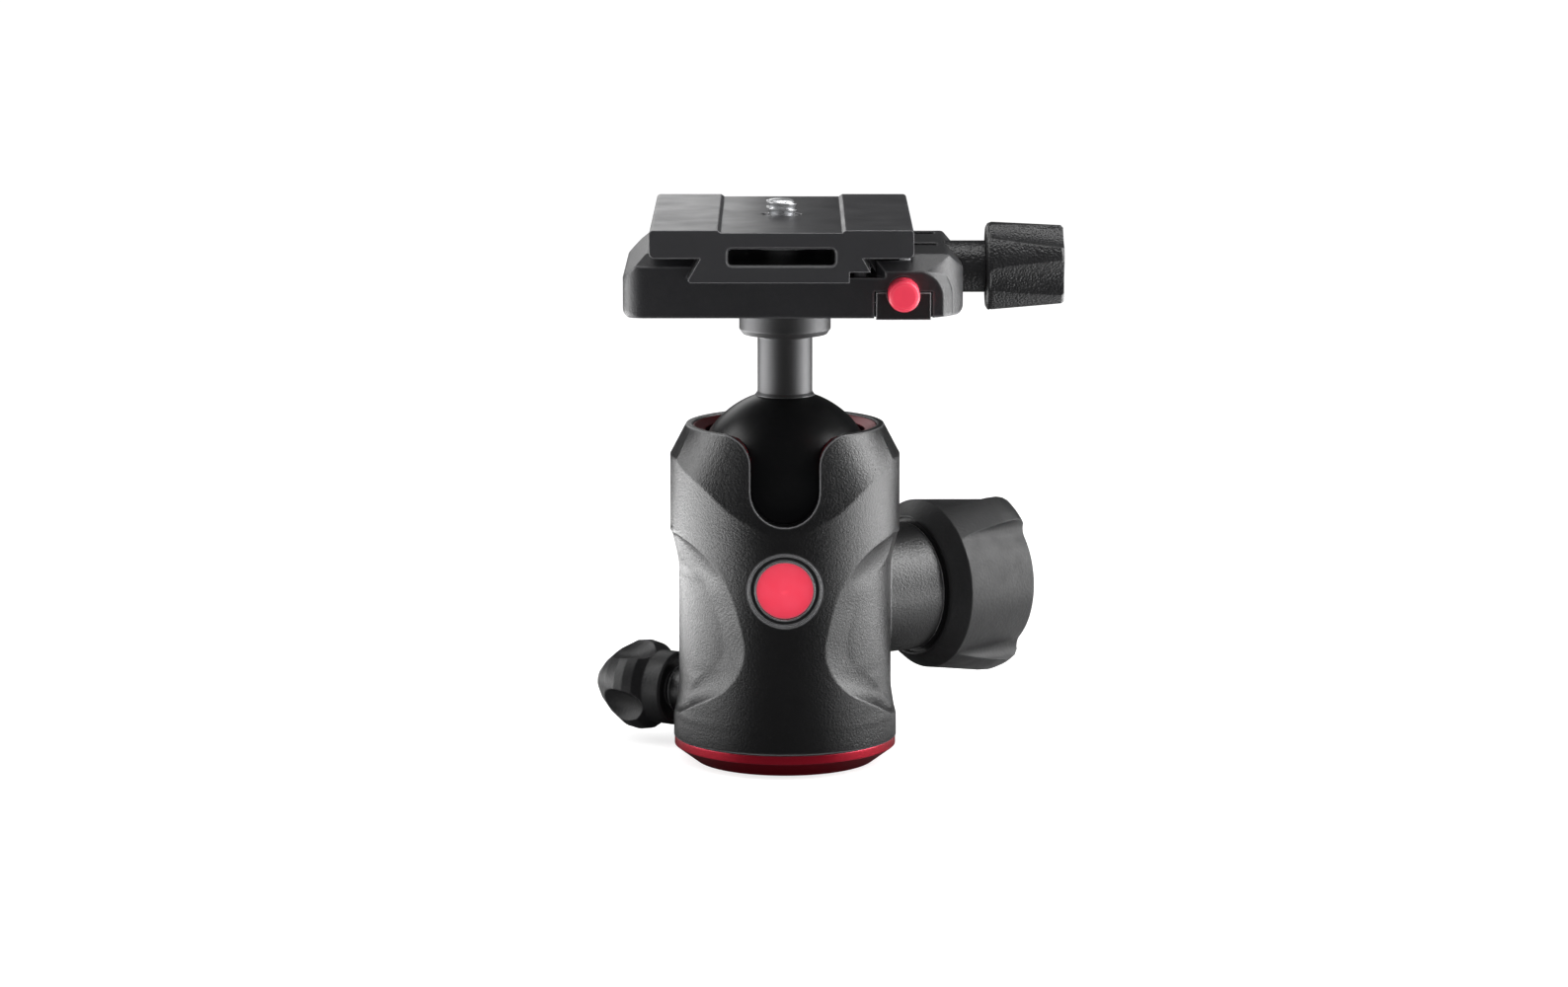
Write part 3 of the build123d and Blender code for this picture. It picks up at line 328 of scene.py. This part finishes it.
# ---- camera screw -----------------------------------------------------------------------
# A 1/4-20 screw. Radii and heights are in millimetres, the heights from the underside of the base.
SCREW_X = -0.7
HEAD_R, HEAD_LOW, HEAD_HIGH = 7.9, 106.2, 109.45
NECK_R = 3.1
FLANGE_R, FLANGE_HIGH = 5.0, 113.8
CORE_R, TIP = 2.6, 119.05
SLOT_WIDTH, SLOT_DEPTH, SLOT_REACH = 1.8, 1.8, 18.0
THREAD_PITCH, THREAD_DEPTH, THREAD_TURNS, THREAD_START = 1.27, 0.56, 1.75, 116.25
# edges that turn more than this stay sharp
CREASE_DEGREES = 32

# share of the pitch that the thread's ridge takes at its foot and at its crest
RIDGE_FOOT, RIDGE_CREST = 0.9, 0.14
# share of the winding over which the ridge runs out at each end, and what is left of its size there
RUN_OUT, RUN_OUT_SIZE = 0.07, 0.15


def thread_tree():
    """Node tree that winds a thread round a core: the ridge's profile swept along a helix."""
    tree = bpy.data.node_groups.new("screw_thread", "GeometryNodeTree")
    tree.interface.new_socket("Geometry", in_out="INPUT", socket_type="NodeSocketGeometry")
    tree.interface.new_socket("Geometry", in_out="OUTPUT", socket_type="NodeSocketGeometry")
    for label in ("Core radius", "Pitch", "Turns", "Depth", "Start height", "Axis x"):
        tree.interface.new_socket(label, in_out="INPUT", socket_type="NodeSocketFloat")
    tree.interface.new_socket("Finish", in_out="INPUT", socket_type="NodeSocketMaterial")
    given = add(tree, "NodeGroupInput").outputs

    rise = add(tree, "ShaderNodeMath", {0: given["Pitch"], 1: given["Turns"]}, operation="MULTIPLY")
    helix = add(tree, "GeometryNodeCurveSpiral", {"Resolution": 40, "Rotations": given["Turns"],
                                                  "Start Radius": given["Core radius"],
                                                  "End Radius": given["Core radius"],
                                                  "Height": rise.outputs["Value"]})
    upright = add(tree, "GeometryNodeSetCurveNormal", {"Curve": helix.outputs["Curve"]}, mode="Z_UP")

    # the ridge runs out to almost nothing at both ends
    along = add(tree, "GeometryNodeSplineParameter").outputs["Factor"]
    back = add(tree, "ShaderNodeMath", {0: 1.0, 1: along}, operation="SUBTRACT")
    nearest = add(tree, "ShaderNodeMath", {0: along, 1: back.outputs["Value"]}, operation="MINIMUM")
    fade = add(tree, "ShaderNodeMapRange", {"Value": nearest.outputs["Value"], "From Max": RUN_OUT,
                                            "To Min": RUN_OUT_SIZE, "To Max": 1.0})
    shaped = add(tree, "GeometryNodeSetCurveRadius", {"Curve": upright.outputs["Curve"],
                                                      "Radius": fade.outputs["Result"]})

    # half of the profile lies inside the core, so it is twice as high as the thread is deep
    deep = add(tree, "ShaderNodeMath", {0: given["Depth"], 1: 2.0}, operation="MULTIPLY")
    foot = add(tree, "ShaderNodeMath", {0: given["Pitch"], 1: RIDGE_FOOT}, operation="MULTIPLY")
    crest = add(tree, "ShaderNodeMath", {0: given["Pitch"], 1: RIDGE_CREST}, operation="MULTIPLY")
    profile = add(tree, "GeometryNodeCurvePrimitiveQuadrilateral",
                  {"Height": deep.outputs["Value"], "Bottom Width": foot.outputs["Value"],
                   "Top Width": crest.outputs["Value"], "Offset": 0.0}, mode="TRAPEZOID")
    ridge = add(tree, "GeometryNodeCurveToMesh", {"Curve": shaped.outputs["Curve"],
                                                  "Profile Curve": profile.outputs["Curve"],
                                                  "Fill Caps": True})
    corner = add(tree, "ShaderNodeCombineXYZ", {"X": given["Axis x"], "Z": given["Start height"]})
    placed = add(tree, "GeometryNodeTransform", {"Geometry": ridge.outputs["Mesh"],
                                                 "Translation": corner.outputs["Vector"]})

    both = add(tree, "GeometryNodeJoinGeometry", {"Geometry": placed.outputs["Geometry"]})
    tree.links.new(given["Geometry"], both.inputs["Geometry"])
    real = add(tree, "GeometryNodeRealizeInstances", {"Geometry": both.outputs["Geometry"]})
    coated = add(tree, "GeometryNodeSetMaterial", {"Geometry": real.outputs["Geometry"],
                                                   "Material": given["Finish"]})
    add(tree, "NodeGroupOutput", {"Geometry": coated.outputs["Geometry"]})
    return tree


def new_piece(name, shape):
    """Object made from a bmesh, which is freed."""
    mesh = bpy.data.meshes.new(name)
    shape.to_mesh(mesh)
    shape.free()
    piece = bpy.data.objects.new(name, mesh)
    scene.collection.objects.link(piece)
    return piece


def lathe(name, corners, axis_x, steps=72):
    """Closed body of revolution about an upright axis, from (radius, height) corners in millimetres."""
    shape = bmesh.new()
    turns = [2 * math.pi * i / steps for i in range(steps)]
    rings = []
    for radius, height in corners:
        if radius == 0:
            rings.append([shape.verts.new((axis_x / 1000, 0.0, height / 1000))])
            continue
        rings.append([shape.verts.new(((axis_x + radius * math.cos(turn)) / 1000,
                                       radius * math.sin(turn) / 1000, height / 1000)) for turn in turns])
    for low, high in zip(rings, rings[1:]):
        for i in range(steps):
            j = (i + 1) % steps
            if len(low) == 1:
                shape.faces.new((low[0], high[j], high[i]))
            elif len(high) == 1:
                shape.faces.new((low[i], low[j], high[0]))
            else:
                shape.faces.new((low[i], low[j], high[j], high[i]))
    bmesh.ops.recalc_face_normals(shape, faces=shape.faces)
    return new_piece(name, shape)


def screw_outline():
    """Half outline of the screw, from the underside of its head to its tip."""
    head = [(0, HEAD_LOW), (HEAD_R - 0.35, HEAD_LOW), (HEAD_R, HEAD_LOW + 0.4), (HEAD_R, HEAD_HIGH - 0.25),
            (HEAD_R - 0.3, HEAD_HIGH)]
    neck = [(NECK_R + 0.5, HEAD_HIGH + 0.3), (NECK_R, HEAD_HIGH + 0.65), (NECK_R, FLANGE_HIGH - 1.0)]
    flange = [(FLANGE_R - 0.3, FLANGE_HIGH - 0.55), (FLANGE_R, FLANGE_HIGH - 0.3),
              (FLANGE_R, FLANGE_HIGH - 0.1), (FLANGE_R - 0.2, FLANGE_HIGH)]
    shank = [(CORE_R, FLANGE_HIGH), (CORE_R, TIP - 0.55), (CORE_R - 0.25, TIP - 0.2),
             (CORE_R - 0.55, TIP - 0.03), (0, TIP)]
    return head + neck + flange + shank


def coin_slot():
    """Box that cuts the coin slot upwards into the head."""
    shape = bmesh.new()
    bmesh.ops.create_cube(shape, size=1.0)
    size = (SLOT_REACH / 1000, SLOT_WIDTH / 1000, 2 * SLOT_DEPTH / 1000)
    bmesh.ops.scale(shape, vec=size, verts=shape.verts)
    bmesh.ops.translate(shape, vec=(SCREW_X / 1000, 0.0, HEAD_LOW / 1000), verts=shape.verts)
    return new_piece("coin_slot_cutter", shape)


def make_camera_screw():
    """Steel camera screw: a slotted head, a relieved neck, and a real thread above the plate."""
    screw = lathe("camera_screw_threaded", screw_outline(), SCREW_X)
    cutter = coin_slot()
    slot = screw.modifiers.new("coin_slot", "BOOLEAN")
    slot.object = cutter
    slot.operation = "DIFFERENCE"
    slot.solver = "EXACT"

    winding = screw.modifiers.new("thread", "NODES")
    winding.node_group = thread_tree()
    sizes = {"Core radius": CORE_R / 1000, "Pitch": THREAD_PITCH / 1000, "Turns": THREAD_TURNS,
             "Depth": THREAD_DEPTH / 1000, "Start height": THREAD_START / 1000, "Axis x": SCREW_X / 1000,
             "Finish": steel}
    for label, value in sizes.items():
        winding[winding.node_group.interface.items_tree[label].identifier] = value

    mesh = bpy.data.meshes.new_from_object(screw.evaluated_get(bpy.context.evaluated_depsgraph_get()))
    screw.modifiers.clear()
    screw.data = mesh
    bpy.data.objects.remove(cutter)
    for face in mesh.polygons:
        face.use_smooth = True
    mesh.set_sharp_from_angle(angle=math.radians(CREASE_DEGREES))
    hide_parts("camera_screw")
    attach(screw, "camera_screw")


make_camera_screw()


# ---- floor ------------------------------------------------------------------------------
def seen_directly(tree):
    """1 for camera and transmission rays, 0 for the rays that light the object or are mirrored in it."""
    rays = add(tree, "ShaderNodeLightPath").outputs
    seen = add(tree, "ShaderNodeMath", {0: rays["Is Camera Ray"], 1: rays["Is Transmission Ray"]},
               operation="MAXIMUM")
    return seen.outputs["Value"]


def pale_paper(tree, reach):
    """The floor as it shows: pale, with the object's shadow, and lifted towards white away from it."""
    raised = add(tree, "ShaderNodeMapRange", {"Value": reach, "From Min": 0.3, "From Max": 2.0,
                                              "To Min": 0.74, "To Max": 0.93})
    paper = add(tree, "ShaderNodeBsdfDiffuse", {"Color": colour("#b0b0b0")})
    lift = add(tree, "ShaderNodeEmission", {"Color": colour("#ffffff"), "Strength": raised.outputs["Result"]})
    both = add(tree, "ShaderNodeAddShader", {0: paper.outputs["BSDF"], 1: lift.outputs["Emission"]})
    return both.outputs["Shader"]


def studio_cloth(tree, place, reach):
    """The floor as the object meets it: dark cloth before and behind it, pale cloth at its sides, painted
    shade under and round it.
    """
    along_x = add(tree, "ShaderNodeSeparateXYZ", {"Vector": place}).outputs["X"]
    sideways = add(tree, "ShaderNodeMath", {0: along_x}, operation="ABSOLUTE")
    share = add(tree, "ShaderNodeMath", {0: sideways.outputs["Value"], 1: reach}, operation="DIVIDE")
    beside = add(tree, "ShaderNodeMapRange", {"Value": share.outputs["Value"], "From Min": 0.55,
                                              "From Max": 0.95}, interpolation_type="SMOOTHSTEP")
    # painted shade: within a few centimetres of the object the cloth is drawn dark
    away = add(tree, "ShaderNodeMapRange", {"Value": reach, "From Min": 0.025, "From Max": 0.08},
               interpolation_type="SMOOTHSTEP")
    pale = add(tree, "ShaderNodeMath", {0: beside.outputs["Result"], 1: away.outputs["Result"]},
               operation="MULTIPLY")
    cloth = add(tree, "ShaderNodeMix", {"Factor": pale.outputs["Value"], COLOUR_A: colour("#3c3c3c"),
                                        COLOUR_B: colour("#f0f0f0")}, data_type="RGBA")
    return add(tree, "ShaderNodeBsdfDiffuse", {"Color": cloth.outputs[COLOUR_MIXED]}).outputs["BSDF"]


def make_floor():
    """Plain floor under the object, near white to the camera."""
    mesh = bpy.data.meshes.new("studio_floor")
    half = 6.0
    corners = [(-half, -half, 0), (half, -half, 0), (half, half, 0), (-half, half, 0)]
    mesh.from_pydata(corners, [], [(0, 1, 2, 3)])
    floor = bpy.data.objects.new("studio_floor", mesh)
    scene.collection.objects.link(floor)

    made = bpy.data.materials.new("studio_paper")
    made.use_nodes = True
    tree = made.node_tree
    tree.nodes.clear()
    place = add(tree, "ShaderNodeTexCoord").outputs["Object"]
    reach = add(tree, "ShaderNodeVectorMath", {0: place}, operation="LENGTH").outputs["Value"]
    mix = add(tree, "ShaderNodeMixShader", {0: seen_directly(tree), 1: studio_cloth(tree, place, reach),
                                            2: pale_paper(tree, reach)})
    add(tree, "ShaderNodeOutputMaterial", {"Surface": mix.outputs["Shader"]})
    mesh.materials.append(made)


# ---- lights -----------------------------------------------------------------------------
OBJECT_MIDDLE = Vector((0.0, 0.0, 0.065))
BOARD_HEIGHT = 0.004


def soft_light(name, azimuth, distance, height, size, power, mirrored=True):
    """Rectangular soft light aimed at the object. Its azimuth is counted from the front, to the right."""
    turn = math.radians(azimuth)
    place = Vector((distance * math.sin(turn), -distance * math.cos(turn), height))
    data = bpy.data.lights.new(name, "AREA")
    data.shape = "RECTANGLE"
    data.size, data.size_y = size
    data.energy = power
    lamp = bpy.data.objects.new(name, data)
    lamp.location = place
    lamp.rotation_euler = (OBJECT_MIDDLE - place).to_track_quat("-Z", "Y").to_euler()
    lamp.visible_camera = False
    lamp.visible_glossy = mirrored
    scene.collection.objects.link(lamp)
    return lamp


def bounce_board(name, azimuth, distance, size, power):
    """Glowing board that lies on the floor and faces up. The walls of the housing mirror it from below."""
    lamp = soft_light(name, azimuth, distance, BOARD_HEIGHT, size, power)
    lamp.rotation_euler = (math.radians(180), 0.0, math.radians(azimuth))


def make_lights():
    """Softboxes and boards at both sides, a card behind, a light above and a light in front."""
    soft_light("left_softbox", azimuth=-98, distance=0.60, height=0.37, size=(0.42, 0.74), power=4.1)
    soft_light("right_softbox", azimuth=94, distance=0.62, height=0.37, size=(0.40, 0.74), power=7.2)
    bounce_board("left_board", azimuth=-101, distance=0.32, size=(0.36, 0.42), power=2.4)
    bounce_board("right_board", azimuth=96, distance=0.36, size=(0.34, 0.42), power=1.8)
    # its reflection shades the plate's top from left to right
    soft_light("back_left_card", azimuth=-160, distance=0.20, height=0.155, size=(0.13, 0.07), power=0.05)
    soft_light("overhead_softbox", azimuth=0, distance=0.05, height=0.90, size=(0.8, 0.5), power=4.2)
    # it lights the front in its own colours, and nothing mirrors it
    soft_light("front_fill", azimuth=4, distance=1.50, height=0.14, size=(0.9, 0.26), power=13.5,
               mirrored=False)


# strength of the world as it shows, as it lights the object, and as the object mirrors it
WHITE_GROUND, ROOM_LIGHT, DARK_STUDIO = 1.0, 0.30, 0.035


def make_world():
    """White ground behind the object, in a dim studio that is almost black in the object's reflections."""
    world = bpy.data.worlds.new("studio")
    scene.world = world
    world.use_nodes = True
    tree = world.node_tree
    tree.nodes.clear()
    mirrored = add(tree, "ShaderNodeLightPath").outputs["Is Glossy Ray"]
    unseen = add(tree, "ShaderNodeMix", {"Factor": mirrored, "A": ROOM_LIGHT, "B": DARK_STUDIO},
                 data_type="FLOAT")
    level = add(tree, "ShaderNodeMix", {"Factor": seen_directly(tree), "A": unseen.outputs["Result"],
                                        "B": WHITE_GROUND}, data_type="FLOAT")
    sky = add(tree, "ShaderNodeBackground", {"Color": colour("#ffffff"), "Strength": level.outputs["Result"]})
    add(tree, "ShaderNodeOutputWorld", {"Surface": sky.outputs["Background"]})


def make_camera():
    """Long lens in front of the object, a little above it and looking slightly down."""
    data = bpy.data.cameras.new("camera")
    data.lens = 117.19
    data.sensor_width = 36.0
    data.clip_start = 0.05
    data.clip_end = 50.0
    camera = bpy.data.objects.new("camera", data)
    camera.location = (-0.0002, -1.0609, 0.2350)
    degrees_down = 9.543
    camera.rotation_euler = (math.radians(90 - degrees_down), 0, 0)
    scene.collection.objects.link(camera)
    scene.camera = camera


make_floor()
make_lights()
make_world()
make_camera()
scene.view_settings.view_transform = "Standard"
